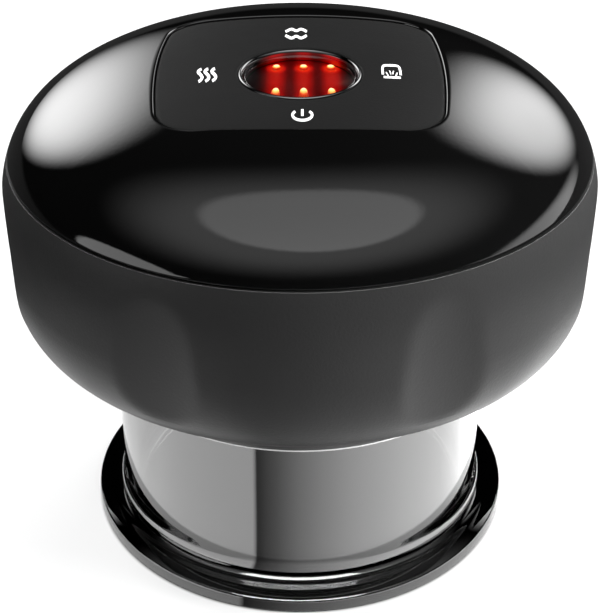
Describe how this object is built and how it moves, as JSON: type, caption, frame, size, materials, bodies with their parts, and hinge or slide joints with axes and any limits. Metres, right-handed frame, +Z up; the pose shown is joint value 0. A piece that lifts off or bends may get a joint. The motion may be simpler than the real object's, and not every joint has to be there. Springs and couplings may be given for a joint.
{
  "type": "electric cupping massager",
  "caption": "Palm-sized electric suction cupper: glossy dome with a touch panel and lamp window over a matte grip body, standing on a clear flared cup.",
  "frame": {"origin": "centre of the cup rim's flat face, at the bottom of the part", "axes": "+Z up along the cup's axis, -Y towards the user, +Y towards the charging port"},
  "size_m": [0.0874, 0.0874, 0.0739],
  "materials": {
    "gloss_shell": "high gloss",
    "matte_shell": "soft satin",
    "panel_plastic": "fine matte",
    "bright_trim": "polished",
    "smoked_lens": "smoked gloss",
    "white_plastic": "moulded",
    "amber_lamp": "lit",
    "red_lamp": "clear tinted dome",
    "black_plastic": "moulded",
    "green_board": "solder mask",
    "clear_cup": "smoky clear, polished",
    "soft_rubber": "soft",
    "hose_rubber": "milky silicone",
    "red_wire": "insulated wire",
    "warm_metal": "fine brushed",
    "amber_film": "polyimide film",
    "steel": "zinc plated",
    "magnet": "sintered ferrite",
    "bronze": "sintered",
    "copper": "enamelled wire",
    "cell_foil": "foil pouch"
  },
  "bodies": {
    "housing": {"base_hose": "hose_rubber", "base_lead": "soft_rubber", "base_plate": "black_plastic", "battery_cell": "cell_foil", "battery_leads": "red_wire", "board_chips": "black_plastic", "board_header": "white_plastic", "body_shell": "matte_shell", "charge_board": "green_board", "charge_leads": "red_wire", "control_panel": "panel_plastic", "cup_seal": "soft_rubber", "display_board": "green_board", "display_leds": "amber_lamp", "display_window": "smoked_lens", "heater_film": "amber_film", "heater_plate": "warm_metal", "housing_screws": "steel", "inner_chassis": "black_plastic", "light_board": "green_board", "light_guide": "white_plastic", "main_board": "green_board", "motor_bushes": "bronze", "motor_can": "steel", "motor_dampers": "soft_rubber", "motor_end_cap": "white_plastic", "motor_leads": "red_wire", "motor_magnets": "magnet", "motor_straps": "steel", "motor_terminals": "bronze", "port_shell": "steel", "port_tongue": "black_plastic", "pump_cover": "black_plastic", "pump_crankcase": "black_plastic", "pump_diaphragm": "soft_rubber", "pump_hose": "hose_rubber", "pump_screws": "steel", "tee_fitting": "white_plastic", "temperature_sensor": "black_plastic", "therapy_leds": "red_lamp", "top_cover": "gloss_shell", "touch_pads": "soft_rubber", "valve_coil": "copper", "valve_frame": "steel", "valve_head": "white_plastic", "valve_hose": "hose_rubber", "valve_plate": "black_plastic", "valve_spring": "steel", "window_bezel": "bright_trim", "wobble_plate": "black_plastic"},
    "cup": {"suction_cup": "clear_cup"},
    "motor_rotor": {"motor_shaft": "steel", "armature_core": "steel", "armature_windings": "copper", "commutator": "bronze", "crank_hub": "black_plastic", "drive_pin": "steel"},
    "valve_plunger": {"valve_plunger": "steel"},
    "filter_cap": {"filter_cap": "black_plastic", "filter_sponge": "soft_rubber"}
  },
  "joints": [
    {"name": "cup_pull", "type": "slide", "parent": "housing", "child": "cup", "axis": [0, 0, -1], "range_m": [0, 0.012]},
    {"name": "rotor_spin", "type": "hinge", "parent": "housing", "child": "motor_rotor", "pos_m": [0, -0.013, 0.04805], "axis": [1, 0, 0], "continuous": true},
    {"name": "valve_draw", "type": "slide", "parent": "housing", "child": "valve_plunger", "axis": [0, 0, -1], "range_m": [0, 0.0008], "stiffness_N_per_m": 120, "deforming": ["valve_spring"]},
    {"name": "filter_cap_pull", "type": "slide", "parent": "housing", "child": "filter_cap", "axis": [0, 0, -1], "range_m": [0, 0.006]}
  ]
}
